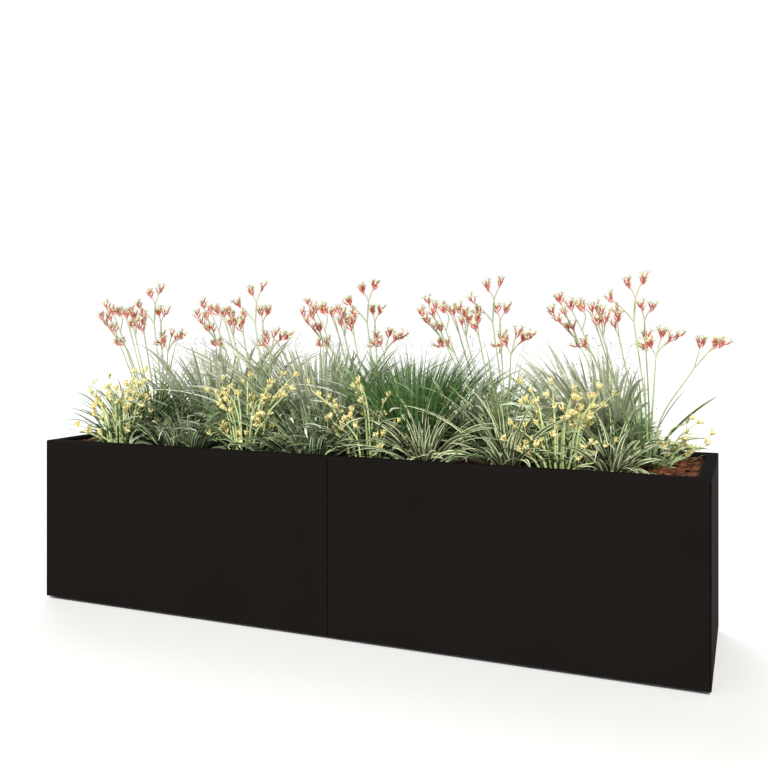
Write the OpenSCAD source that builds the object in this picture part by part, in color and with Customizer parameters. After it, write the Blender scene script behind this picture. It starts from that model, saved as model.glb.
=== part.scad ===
// Long rectangular garden planter in black powder-coated sheet metal, made as two
// equal modules bolted together at mid length, filled and planted.
// Millimetres. Origin: centre of the footprint on the ground. +X runs along the
// length, -Y is the front, +Z is up.

/* [Planter box] */
// Length over the two end panels
planter_l = 2400; // [2200:100:2600]
// Depth from front to back
planter_d = 600; // [580:10:640]
// Height of the metal panels, without the feet
panel_h = 600; // [560:10:640]
// Thickness of the folded sheet
sheet = 3; // [2:0.5:4]
// Outside radius of the folds
fold_r = 6; // [3.5:0.5:6]

/* [Rim and flanges] */
// Width of the rim that is folded in round the top
rim_w = 38; // [30:1:50]
// Depth of the stiffening lip that turns down from the rim
lip_h = 20; // [12:1:30]
// Width of the bottom flange that carries the floor
bottom_flange = 44; // [40:1:60]
// Width of the upright flanges at the seams and corners
side_flange = 36; // [30:1:40]
// Space between the two modules at the seam
seam_gap = 1; // [0.4:0.1:1]

/* [Floor and feet] */
// Height of the rubber feet
foot_h = 10; // [8:1:14]
// Diameter of the rubber feet
foot_dia = 60; // [50:2:80]
// Distance of each foot from the centre line
foot_y = 212; // [190:2:214]
// Height of the turned-up edges of the floor trays
tray_edge = 30; // [20:2:40]
// Bore of each drain outlet
drain_bore = 20; // [16:1:24]

/* [Filling] */
// Thickness of the drainage gravel
gravel_h = 46; // [40:2:60]
// Thickness of the bark mulch
mulch_h = 42; // [30:2:60]
// Distance from the rim down to the mulch
freeboard = 22; // [21:1:40]

/* [Planting] */
// Distance between the groups of plants along the planter
plant_pitch = 470; // [460:5:475]
// Height of the red kangaroo paws above the mulch
red_h = 620; // [560:10:640]
// Height of the yellow kangaroo paws above the mulch
yellow_h = 300; // [280:10:320]
// Height of the silver grass clumps above the mulch
silver_h = 400; // [300:10:420]
// Height of the tufts with striped leaves above the mulch
striped_h = 210; // [160:10:215]

/* [Hidden] */

// Colours
coat_black = [0.115, 0.105, 0.1];
zinc = [0.62, 0.63, 0.65];
rubber_black = [0.06, 0.06, 0.06];
plastic_black = [0.1, 0.1, 0.11];
gravel_brown = [0.5, 0.36, 0.28];
fabric_grey = [0.55, 0.56, 0.55];
mix_brown = [0.2, 0.13, 0.09];
mulch_brown = [0.4, 0.2, 0.11];
leaf_green = [0.36, 0.48, 0.26];
leaf_yellow = [0.66, 0.68, 0.36];
leaf_silver = [0.62, 0.67, 0.56];
leaf_striped = [0.55, 0.6, 0.42];
leaf_dark = [0.24, 0.34, 0.18];
leaf_grass = [0.3, 0.45, 0.22];

// Derived places
half_l = planter_l / 2;
half_d = planter_d / 2;
panel_z = foot_h;
rim_z = panel_z + panel_h;
clear = 0.3;
front_end_x = half_l - sheet - clear;
flange_lo = panel_z + sheet + fold_r;
flange_hi = rim_z - 2 * fold_r;
flange_y = half_d - side_flange / 2 - 2;

// Floor
bearer_w = 120;
bearer_t = sheet;
tray_z = panel_z + sheet + 0.2;
tray_end = half_l - 10;
tray_half_d = half_d - 7;
tray_inner = 4;
drain_at = [-900, -300, 300, 900];
foot_x = 1040;
drain_flange_r = drain_bore / 2 + 10;
drain_tube_r = drain_bore / 2 + 2.5;

// Stiffening ribs and braces
rib_x = half_l / 2;
rib_w = 44;
rib_foot = 14;
rib_depth = 24;
rib_t = 2.5;
rib_lo = tray_z + tray_edge + 8;
rib_hi = rim_z - lip_h - 6;
brace_z = panel_z + 0.68 * panel_h;
brace_h = 40;
brace_tab = 36;

// Fasteners: bolt across seams, bolt across braces, foot bolt
m8 = 8;
m8_hole = 9;
m8_head_af = 13;
m8_head_h = 5.3;
m8_nut_h = 6.5;
m6_stud = 6;
m6_hole = 7;
m6_nut_af = 10;
m6_nut_h = 5;
seam_z = [panel_z + 90, panel_z + 230, panel_z + 370, panel_z + 510];
corner_z = [panel_z + 110, panel_z + 300, panel_z + 490];

// Filling levels
gravel_z = tray_z + sheet + clear;
fabric_z = gravel_z + gravel_h + clear;
fabric_t = 2;
mix_z = fabric_z + fabric_t + clear;
mulch_top = rim_z - freeboard;
mulch_z = mulch_top - mulch_h;
plant_z = mulch_top + clear;
fill_half_l = half_l - sheet - 1;
fill_half_d = half_d - sheet - 1;

// Rows of plants: the red row, and the rows in front of and behind it
red_y = 0;
front_y = -170;
back_y = 165;
yellow_x = [-930, -370, 92, 746, 1000];
yellow_y = [front_y, front_y, front_y, front_y, back_y];
striped_x = [300, 585, 912];
dark_x = [-640, -120];
silver_x = [-740, -270, 300, 760];
tussock_x = 200;

// Outlines from a plant's crown: x, and height as a share of the plant's own height.
// They are the fan of red stalks, the stalk that leans right and the leaf that arches left
// (the last yellow plant has a shorter one that arches right).
red_fan = [
    [-10, 0], [12, 0], [75, 0.62], [105, 0.68], [80, 0.74], [20, 0.68], [20, 0.96],
    [-10, 1], [-60, 0.97], [-90, 0.92], [-215, 0.92], [-290, 0.9], [-318, 0.84], [-295, 0.76],
    [-230, 0.7]
];
leaning_stalk = [[0, 0.2], [30, 0.15], [262, 0.62], [262, 0.69], [205, 0.7], [190, 0.6]];
arching_leaf = [[-20, 0.2], [-20, 0.35], [-180, 0.58], [-307, 0.47], [-180, 0.5]];

function red_x(i) = (i - 3) * plant_pitch + 50;

$fn = 48;

// ---------- folded sheet ----------

// Quarter of a ring, centred on the origin, in the quadrant that dir points to
module bend(dir) {
    intersection() {
        difference() {
            circle(r = fold_r);
            circle(r = fold_r - sheet);
        }
        translate([dir[0] > 0 ? 0 : -fold_r, dir[1] > 0 ? 0 : -fold_r])
            square(fold_r);
    }
}

// Section of a panel: x runs inward from the outer face, y runs up
module panel_section() {
    translate([0, fold_r]) square([sheet, panel_h - 2 * fold_r]);
    translate([fold_r, panel_h - fold_r]) bend([-1, 1]);
    translate([fold_r, panel_h - sheet]) square([rim_w - 2 * fold_r, sheet]);
    translate([rim_w - fold_r, panel_h - fold_r]) bend([1, 1]);
    translate([rim_w - sheet, panel_h - lip_h]) square([sheet, lip_h - fold_r]);
    translate([fold_r, fold_r]) bend([-1, -1]);
    translate([fold_r, 0]) square([bottom_flange - fold_r, sheet]);
}

// The section run along +X, with its outer face on y = 0
module panel_run(run) {
    rotate([90, 0, 90]) linear_extrude(height = run) panel_section();
}

// Keeps what lies on the front panel's side of the corner mitres
module front_of_mitre() {
    reach = bottom_flange + 10;
    translate([0, 0, panel_z - 1])
        linear_extrude(height = panel_h + 2)
            polygon([
                [seam_gap / 2, -half_d - 1], [half_l - clear + 1, -half_d - 1],
                [half_l - clear - reach, -half_d + reach], [seam_gap / 2, -half_d + reach]
            ]);
}

// The outside of a square corner, cut away to leave the fold's round
module corner_round() {
    difference() {
        translate([0, -fold_r, 0]) cube([fold_r, fold_r, flange_hi - flange_lo]);
        translate([0, 0, -1]) cylinder(r = fold_r, h = flange_hi - flange_lo + 2);
    }
}

// Upright flange, folded in from a front panel's edge
module side_flange_plate(x) {
    translate([x, -half_d + sheet / 2, flange_lo])
        cube([sheet, side_flange - sheet / 2, flange_hi - flange_lo]);
}

// Right-hand front panel, in place
module front_panel() {
    seam_x = seam_gap / 2;
    difference() {
        union() {
            intersection() {
                translate([seam_x, -half_d, panel_z]) panel_run(front_end_x - seam_x);
                front_of_mitre();
            }
            side_flange_plate(seam_x);
            side_flange_plate(front_end_x - sheet);
        }
        translate([front_end_x - fold_r, -half_d + fold_r, flange_lo]) corner_round();
        translate([seam_x + fold_r, -half_d + fold_r, flange_lo]) mirror([1, 0, 0]) corner_round();
        for (z = seam_z)
            translate([0, -flange_y, z]) rotate([0, 90, 0])
                cylinder(d = m8_hole, h = 4 * sheet, center = true);
        for (z = corner_z)
            translate([front_end_x, -flange_y, z]) rotate([0, 90, 0])
                cylinder(d = m6_hole, h = 4 * sheet, center = true);
    }
}

// Keeps what lies on the end panel's side of the corner mitres, and all of its skin
module end_of_mitre() {
    reach = bottom_flange + 10;
    translate([0, 0, panel_z - 1])
        linear_extrude(height = panel_h + 2) {
            polygon([
                [half_l + 1, -half_d], [half_l + 1, half_d], [half_l, half_d],
                [half_l - reach, half_d - reach], [half_l - reach, -half_d + reach],
                [half_l, -half_d]
            ]);
            translate([half_l - sheet, -half_d]) square([sheet, planter_d]);
        }
}

// Right-hand end panel with its welded studs, in place
module end_panel() {
    intersection() {
        translate([half_l, -half_d, panel_z]) rotate([0, 0, 90]) panel_run(planter_d);
        end_of_mitre();
    }
    for (side = [-1, 1], z = corner_z)
        translate([half_l - sheet / 2, side * flange_y, z]) rotate([0, -90, 0])
            cylinder(d = m6_stud, h = 16 + sheet / 2);
}

module at_left() { mirror([1, 0, 0]) children(); }
module at_back() { mirror([0, 1, 0]) children(); }

// ---------- floor ----------

// Right-hand floor tray with turned-up edges
module floor_tray() {
    tray_l = tray_end - tray_inner;
    difference() {
        translate([tray_inner, -tray_half_d, tray_z])
            cube([tray_l, 2 * tray_half_d, tray_edge]);
        translate([tray_inner + sheet, -tray_half_d + sheet, tray_z + sheet])
            cube([tray_l - 2 * sheet, 2 * (tray_half_d - sheet), tray_edge]);
        for (x = drain_at)
            if (x > 0) translate([x, 0, tray_z - 1])
                cylinder(r = drain_tube_r + 0.5, h = sheet + 2);
        foot_holes();
    }
}

module foot_holes() {
    for (x = [-foot_x, -bearer_w / 4, bearer_w / 4, foot_x], side = [-1, 1])
        translate([x, side * foot_y, 0]) cylinder(d = m8_hole, h = tray_z + 2 * sheet);
}

// Flat bar across the planter, between the bottom flanges
module floor_bearer(x) {
    color(zinc) difference() {
        translate([x - bearer_w / 2, -half_d + bottom_flange + 1, panel_z])
            cube([bearer_w, planter_d - 2 * (bottom_flange + 1), bearer_t]);
        foot_holes();
    }
}

// Where the foot's bolts pass: two in a centre foot, one in the others
function foot_bolt_x(x) = x == 0 ? [-bearer_w / 4, bearer_w / 4] : [x];

// Rubber foot with a pocket for each bolt head; the centre feet are oblong
module foot(x, y) {
    pocket_r = 8.5;
    pocket_h = m8_head_h + 1;
    chamfer = 2;
    color(rubber_black) difference() {
        union() {
            for (bx = foot_bolt_x(x)) {
                translate([bx, y, chamfer]) cylinder(d = foot_dia, h = foot_h - chamfer);
                translate([bx, y, 0]) cylinder(d1 = foot_dia - 2 * chamfer, d2 = foot_dia, h = chamfer);
            }
            if (x == 0) {
                translate([-bearer_w / 4, y - foot_dia / 2, chamfer])
                    cube([bearer_w / 2, foot_dia, foot_h - chamfer]);
                translate([-bearer_w / 4, y - foot_dia / 2 + chamfer, 0])
                    cube([bearer_w / 2, foot_dia - 2 * chamfer, chamfer]);
            }
        }
        for (bx = foot_bolt_x(x)) {
            translate([bx, y, -1]) cylinder(r = pocket_r, h = pocket_h + 1);
            translate([bx, y, 0]) cylinder(d = m8_hole, h = foot_h + 1);
        }
    }
}

module hex(af, h) { cylinder(d = af / cos(30), h = h, $fn = 6); }

module foot_bolts() {
    color(zinc) for (x = [-foot_x, 0, foot_x], side = [-1, 1])
        for (bx = foot_bolt_x(x))
            translate([bx, side * foot_y, 1]) {
                hex(m8_head_af, m8_head_h);
                cylinder(d = m8, h = tray_z + sheet + m8_nut_h + 2);
            }
}

module foot_nuts() {
    color(zinc) for (x = [-foot_x, 0, foot_x], side = [-1, 1])
        for (bx = foot_bolt_x(x))
            translate([bx, side * foot_y, tray_z + sheet]) difference() {
                hex(m8_head_af, m8_nut_h);
                translate([0, 0, -1]) cylinder(r = m8 / 2 + 0.05, h = m8_nut_h + 2);
            }
}

// Flanged drain bush that hangs in a hole in the floor
module drain_outlet(x) {
    tube_lo = 4;
    flange_t = 2;
    flange_z = tray_z + sheet;
    color(plastic_black) translate([x, 0, 0]) difference() {
        union() {
            translate([0, 0, tube_lo]) cylinder(r = drain_tube_r, h = flange_z - tube_lo + flange_t);
            translate([0, 0, flange_z]) cylinder(r = drain_flange_r, h = flange_t);
        }
        cylinder(d = drain_bore, h = flange_z + flange_t + 1);
    }
}

// ---------- seam, ribs and braces ----------

brace_bar_x = seam_gap / 2 + sheet + clear;

// Thickness held between a seam bolt's head and its nut
function seam_grip(z) = z == seam_z[2] ? 2 * sheet + clear : sheet;

module seam_bolts() {
    head_x = -seam_gap / 2 - sheet - 0.1;
    color(zinc) for (side = [-1, 1], z = seam_z)
        translate([head_x, side * flange_y, z]) rotate([0, 90, 0]) {
            translate([0, 0, -m8_head_h]) hex(m8_head_af, m8_head_h);
            cylinder(d = m8, h = 22);
        }
}

module seam_nuts() {
    color(zinc) for (side = [-1, 1], z = seam_z)
        translate([seam_gap / 2 + seam_grip(z) + 0.1, side * flange_y, z]) rotate([0, 90, 0])
            difference() {
                hex(m8_head_af, m8_nut_h);
                translate([0, 0, -1]) cylinder(r = m8 / 2 + 0.05, h = m8_nut_h + 2);
            }
}

module corner_nuts() {
    color(zinc) for (end = [-1, 1], side = [-1, 1], z = corner_z)
        translate([end * (front_end_x - sheet - 0.1), side * flange_y, z]) rotate([0, -90 * end, 0])
            difference() {
                hex(m6_nut_af, m6_nut_h);
                translate([0, 0, -1]) cylinder(r = m6_stud / 2 + 0.05, h = m6_nut_h + 2);
            }
}

// Top-hat section, open to the panel it stiffens: x along the panel, y inward
module rib_section() {
    difference() {
        translate([-rib_w / 2, 0]) square([rib_w, rib_depth]);
        translate([-rib_w / 2 + rib_t, -1]) square([rib_w - 2 * rib_t, rib_depth - rib_t + 1]);
    }
    for (side = [-1, 1])
        translate([side > 0 ? rib_w / 2 - rib_t : -rib_w / 2 - rib_foot + rib_t, 0])
            square([rib_foot, rib_t]);
}

// Rib on the inside of the front panel at x
module rib(x) {
    face_y = -half_d + sheet + 0.1;
    difference() {
        translate([x, face_y, rib_lo])
            linear_extrude(height = rib_hi - rib_lo) rib_section();
        translate([x, face_y + rib_depth, brace_z]) rotate([90, 0, 0])
            cylinder(d = m8_hole, h = 3 * rib_t, center = true);
    }
}

// Bar that ties the front rib to the back rib, with a tab turned at each end
module cross_brace(x) {
    tab_y = half_d - sheet - rib_depth - 0.3;
    color(zinc) difference() {
        union() {
            translate([x - brace_tab / 2, -tab_y, brace_z - brace_h / 2])
                cube([sheet, 2 * tab_y, brace_h]);
            for (side = [-1, 1])
                translate([x - brace_tab / 2, side > 0 ? tab_y - sheet : -tab_y, brace_z - brace_h / 2])
                    cube([brace_tab, sheet, brace_h]);
        }
        translate([x, 0, brace_z]) rotate([90, 0, 0])
            cylinder(d = m8_hole, h = planter_d, center = true);
    }
}

// Bar across the seam, held by one seam bolt at each side
module cross_brace_centre() {
    bar_half = half_d - sheet - 4;
    color(zinc) difference() {
        translate([brace_bar_x, -bar_half, seam_z[2] + 22 - brace_h])
            cube([sheet, 2 * bar_half, brace_h]);
        for (side = [-1, 1])
            translate([0, side * flange_y, seam_z[2]]) rotate([0, 90, 0])
                cylinder(d = m8_hole, h = 50, center = true);
    }
}

module brace_bolts() {
    head_y = half_d - sheet - rib_depth - 0.3 - sheet - 0.1;
    color(zinc) for (x = [-rib_x, rib_x], side = [-1, 1])
        translate([x, side * head_y, brace_z]) rotate([-90 * side, 0, 0]) {
            translate([0, 0, -m8_head_h]) hex(m8_head_af, m8_head_h);
            cylinder(d = m8, h = 20);
        }
}

module brace_nuts() {
    nut_y = half_d - sheet - rib_depth + rib_t + 0.1;
    color(zinc) for (x = [-rib_x, rib_x], side = [-1, 1])
        translate([x, side * nut_y, brace_z]) rotate([-90 * side, 0, 0]) difference() {
            hex(m8_head_af, m8_nut_h);
            translate([0, 0, -1]) cylinder(r = m8 / 2 + 0.05, h = m8_nut_h + 2);
        }
}

// ---------- filling ----------

// Space kept free in the filling for flanges, ribs, braces and fasteners
module hardware_space() {
    tall = panel_h + 20;
    seam_w = 44;
    seam_in = side_flange + 1;
    corner_in = 26;
    for (side = [-1, 1]) {
        translate([-seam_w / 2, side > 0 ? half_d - seam_in : -half_d - 1, 0])
            cube([seam_w, seam_in + 1, tall]);
        for (end = [-1, 1]) {
            translate([end > 0 ? half_l - corner_in : -half_l - 1,
                       side > 0 ? half_d - seam_in : -half_d - 1, 0])
                cube([corner_in + 1, seam_in + 1, tall]);
            translate([end * rib_x - rib_w / 2 - rib_foot, side > 0 ? half_d - 38 : -half_d - 1, rib_lo - 2])
                cube([rib_w + 2 * rib_foot, 39, rib_hi - rib_lo + 4]);
        }
    }
    for (end = [-1, 1])
        translate([end * rib_x - brace_tab / 2 - clear, -half_d, brace_z - brace_h / 2 - clear])
            cube([sheet + 2 * clear, planter_d, brace_h + 2 * clear]);
    translate([brace_bar_x - clear, -half_d, seam_z[2] + 22 - brace_h - clear])
        cube([sheet + 2 * clear, planter_d, brace_h + 2 * clear]);
}

// Block of filling between two levels, out to the panels
module fill_layer(z_lo, z_hi) {
    difference() {
        translate([-fill_half_l, -fill_half_d, z_lo])
            cube([2 * fill_half_l, 2 * fill_half_d, z_hi - z_lo]);
        hardware_space();
    }
}

module drainage_gravel() {
    edge_z = tray_z + tray_edge + clear;
    end_x = tray_end - sheet - clear;
    half_y = tray_half_d - sheet - clear;
    gap_x = tray_inner + sheet + clear;
    color(gravel_brown) difference() {
        translate([-end_x, -half_y, gravel_z]) cube([2 * end_x, 2 * half_y, gravel_h]);
        translate([-gap_x, -half_d, 0]) cube([2 * gap_x, planter_d, edge_z]);
        hardware_space();
        for (x = drain_at)
            translate([x, 0, 0]) cylinder(r = drain_flange_r + 1, h = tray_z + sheet + 3);
        for (x = [-foot_x, -bearer_w / 4, bearer_w / 4, foot_x], side = [-1, 1])
            translate([x, side * foot_y, 0]) cylinder(r = 9, h = tray_z + sheet + m8_nut_h + 6);
    }
}

// ---------- plants ----------

// Clump of leaves: narrow at the crown, widest at two thirds, rounded on top
module clump(r, h) {
    rotate_extrude()
        polygon([
            [0, 0], [0.3 * r, 0], [0.62 * r, 0.3 * h], [r, 0.66 * h],
            [0.82 * r, 0.88 * h], [0.35 * r, h], [0, h]
        ]);
}

// Low clump whose leaves arch over to the sides
module arching_clump(r, h) {
    rotate_extrude()
        polygon([
            [0, 0], [0.3 * r, 0], [0.8 * r, 0.4 * h], [r, 0.62 * h],
            [0.9 * r, 0.85 * h], [0.5 * r, h], [0, h]
        ]);
}

// Yellow paw: a slim clump that opens into a low crown of flower heads
module sprayed_clump(r, head_r, h) {
    rotate_extrude()
        polygon([
            [0, 0], [0.3 * r, 0], [0.62 * r, 0.2 * h], [r, 0.5 * h], [r, 0.7 * h],
            [head_r, 0.78 * h], [0.94 * head_r, 0.93 * h], [0.5 * head_r, h], [0, h]
        ]);
}

// Flat fan of stalks in the X-Z plane: outline given as [x, z], thick along Y
module fan(outline, thick) {
    translate([0, thick / 2, 0]) rotate([90, 0, 0])
        linear_extrude(height = thick) polygon(outline);
}

// Red kangaroo paw number i: a slim clump of leaves and a fan of tall stalks that leans to
// the left. The last one also has a stalk that leans out over the right-hand end.
module red_paw(i) {
    color(leaf_green) translate([red_x(i), red_y, plant_z]) {
        clump(62, 0.5 * red_h);
        fan([for (p = red_fan) [p[0], p[1] * red_h]], 60);
        if (i == 5) fan([for (p = leaning_stalk) [p[0], p[1] * red_h]], 40);
    }
}

// Yellow kangaroo paw number i: a spray of short stalks over a clump of leaves.
// The first one has a leaf that arches out over the left-hand end.
module yellow_paw(i) {
    color(leaf_yellow) translate([yellow_x[i - 1], yellow_y[i - 1], plant_z]) {
        sprayed_clump(68, 110, yellow_h);
        if (i == 1) fan([for (p = arching_leaf) [p[0], p[1] * yellow_h]], 30);
        if (i == 5) fan([for (p = arching_leaf) [-0.6 * p[0], p[1] * yellow_h]], 30);
    }
}

module silver_clump(i) {
    color(leaf_silver) translate([silver_x[i - 1], back_y, plant_z]) clump(82, silver_h);
}

module striped_tuft(i) {
    color(leaf_striped) translate([striped_x[i - 1], front_y, plant_z])
        arching_clump(84, striped_h);
}

module dark_clump(i) {
    color(leaf_dark) translate([dark_x[i - 1], front_y, plant_z]) arching_clump(84, 200);
}

module green_tussock() {
    color(leaf_grass) translate([tussock_x, red_y, plant_z]) clump(76, silver_h);
}

// ---------- the parts, each in place ----------

module front_panel_left() { color(coat_black) at_left() front_panel(); }
module front_panel_right() { color(coat_black) front_panel(); }
module back_panel_left() { color(coat_black) at_back() at_left() front_panel(); }
module back_panel_right() { color(coat_black) at_back() front_panel(); }
module end_panel_left() { color(coat_black) at_left() end_panel(); }
module end_panel_right() { color(coat_black) end_panel(); }
module floor_tray_left() { color(coat_black) at_left() floor_tray(); }
module floor_tray_right() { color(coat_black) floor_tray(); }
module rib_front_left() { color(zinc) rib(-rib_x); }
module rib_front_right() { color(zinc) rib(rib_x); }
module rib_back_left() { color(zinc) at_back() rib(-rib_x); }
module rib_back_right() { color(zinc) at_back() rib(rib_x); }
module filter_fabric() { color(fabric_grey) fill_layer(fabric_z, fabric_z + fabric_t); }
module potting_mix() { color(mix_brown) fill_layer(mix_z, mulch_z - clear); }
module bark_mulch() { color(mulch_brown) fill_layer(mulch_z, mulch_top); }

front_panel_left();
front_panel_right();
back_panel_left();
back_panel_right();
end_panel_left();
end_panel_right();
floor_tray_left();
floor_tray_right();
floor_bearer(-foot_x);  // floor_bearer_left
floor_bearer(0);  // floor_bearer_centre
floor_bearer(foot_x);  // floor_bearer_right
foot(-foot_x, -foot_y);  // foot_front_left
foot(0, -foot_y);  // foot_front_centre
foot(foot_x, -foot_y);  // foot_front_right
foot(-foot_x, foot_y);  // foot_back_left
foot(0, foot_y);  // foot_back_centre
foot(foot_x, foot_y);  // foot_back_right
foot_bolts();
foot_nuts();
seam_bolts();
seam_nuts();
corner_nuts();
rib_front_left();
rib_front_right();
rib_back_left();
rib_back_right();
cross_brace(-rib_x);  // cross_brace_left
cross_brace_centre();
cross_brace(rib_x);  // cross_brace_right
brace_bolts();
brace_nuts();
for (i = [1:4])
    drain_outlet(drain_at[i - 1]);
drainage_gravel();
filter_fabric();
potting_mix();
bark_mulch();
for (i = [1:5])
    red_paw(i);
for (i = [1:5])
    yellow_paw(i);
for (i = [1:4])
    silver_clump(i);
for (i = [1:3])
    striped_tuft(i);
for (i = [1:2])
    dark_clump(i);
green_tussock();
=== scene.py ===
"""A long black sheet-metal garden planter on low feet, filled with bark mulch and planted
with kangaroo paws and strap-leaf clumps. All lengths are in metres, in the CAD's own frame."""
import math
import random

import bmesh
import bpy
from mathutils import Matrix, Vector, noise


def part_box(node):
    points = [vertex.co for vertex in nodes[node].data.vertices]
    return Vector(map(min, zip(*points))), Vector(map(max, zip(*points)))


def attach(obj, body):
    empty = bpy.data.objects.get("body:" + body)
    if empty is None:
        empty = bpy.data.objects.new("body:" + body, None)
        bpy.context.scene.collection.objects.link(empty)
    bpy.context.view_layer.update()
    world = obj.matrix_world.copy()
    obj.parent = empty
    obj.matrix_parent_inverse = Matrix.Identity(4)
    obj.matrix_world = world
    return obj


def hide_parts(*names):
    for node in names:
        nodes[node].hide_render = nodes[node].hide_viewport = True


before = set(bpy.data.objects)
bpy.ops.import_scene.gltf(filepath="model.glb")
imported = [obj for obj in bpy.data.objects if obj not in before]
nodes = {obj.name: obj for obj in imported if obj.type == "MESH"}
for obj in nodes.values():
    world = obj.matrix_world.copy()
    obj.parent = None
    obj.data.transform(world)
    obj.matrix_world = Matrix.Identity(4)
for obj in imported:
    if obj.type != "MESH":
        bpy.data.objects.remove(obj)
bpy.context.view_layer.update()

UP = Vector((0, 0, 1))
GOLDEN_ANGLE = math.pi * (3 - math.sqrt(5))

# The share of a flower's marks that its tube takes; its claws take the rest
TUBE_SHARE = 0.62

# The planter's own places, read from the frame: the tops of the mulch and rim, and half the
# box's length and depth
MULCH_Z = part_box("bark_mulch")[1][2]
RIM_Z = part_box("front_panel_left")[1][2]
HALF_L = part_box("end_panel_right")[1][0]
HALF_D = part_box("end_panel_right")[1][1]

# As in part.scad: the rim's width
RIM_W = 0.038

# How plants keep to the planter: their gap to the long rims, their height over an end rim, how
# far they lean out past it, and how far short of it a leaf that may not lean out begins to shrink
RIM_GAP = 0.004
RIM_CLEARANCE = 0.005
END_OVERHANG = 0.045
END_ROOM = 0.13

# How deep the feet of leaves go into the mulch
LEAF_ROOT_DEPTH = 0.012


# ---------- camera, light and floor ----------

def make_camera():
    """The photo's camera, in front of the right-hand half: level, so that uprights stay upright."""
    data = bpy.data.cameras.new("camera")
    data.lens = 41.25
    data.sensor_width = 36
    data.shift_y = -0.065
    camera = bpy.data.objects.new("camera", data)
    camera.location = (1.297, -2.930, 1.017)
    camera.rotation_euler = (math.radians(90), 0, math.radians(22.54))
    bpy.context.collection.objects.link(camera)
    bpy.context.scene.camera = camera


def sun_light(name, way, strength, softness, colour):
    """A lamp a long way off, in the direction way from the object. softness is how wide it looks
    from the object, in degrees."""
    data = bpy.data.lights.new(name, "SUN")
    data.energy = strength
    data.angle = math.radians(softness)
    data.color = colour
    light = bpy.data.objects.new(name, data)
    light.rotation_euler = Vector(way).to_track_quat("Z", "Y").to_euler()
    bpy.context.collection.objects.link(light)


def make_studio():
    """A pale floor, three soft lamps, and a white backdrop all round, which lights the object less
    than its look would."""
    scene = bpy.context.scene
    scene.view_settings.view_transform = "Standard"
    world = bpy.data.worlds.new("studio")
    world.use_nodes = True
    light_of_sky, look_of_sky = 0.30, 1.0
    tree = world.node_tree
    sky = tree.nodes["Background"]
    path = tree.nodes.new("ShaderNodeLightPath")
    strength = tree.nodes.new("ShaderNodeMapRange")
    strength.inputs["To Min"].default_value = light_of_sky
    strength.inputs["To Max"].default_value = look_of_sky
    tree.links.new(path.outputs["Is Camera Ray"], strength.inputs["Value"])
    tree.links.new(strength.outputs["Result"], sky.inputs["Strength"])
    sky.inputs["Color"].default_value = (1.0, 1.0, 1.0, 1)
    scene.world = world
    sun_light("key", (0.35, -0.90, 0.85), strength=3.7, softness=12, colour=(1, 0.985, 0.955))
    sun_light("fill", (-0.35, -1.0, 0.22), strength=0.9, softness=50, colour=(0.97, 0.985, 1))
    sun_light("back", (-0.6, 0.9, 1.0), strength=1.1, softness=40, colour=(0.96, 0.98, 1))

    mesh = bpy.data.meshes.new("floor")
    reach = 60
    corners = [(x * reach, y * reach, 0) for x, y in ((-1, -1), (1, -1), (1, 1), (-1, 1))]
    mesh.from_pydata(corners, [], [(0, 1, 2, 3)])
    floor = bpy.data.objects.new("floor", mesh)
    bpy.context.collection.objects.link(floor)
    mesh.materials.append(floor_material())


# ---------- material helpers ----------

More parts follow.
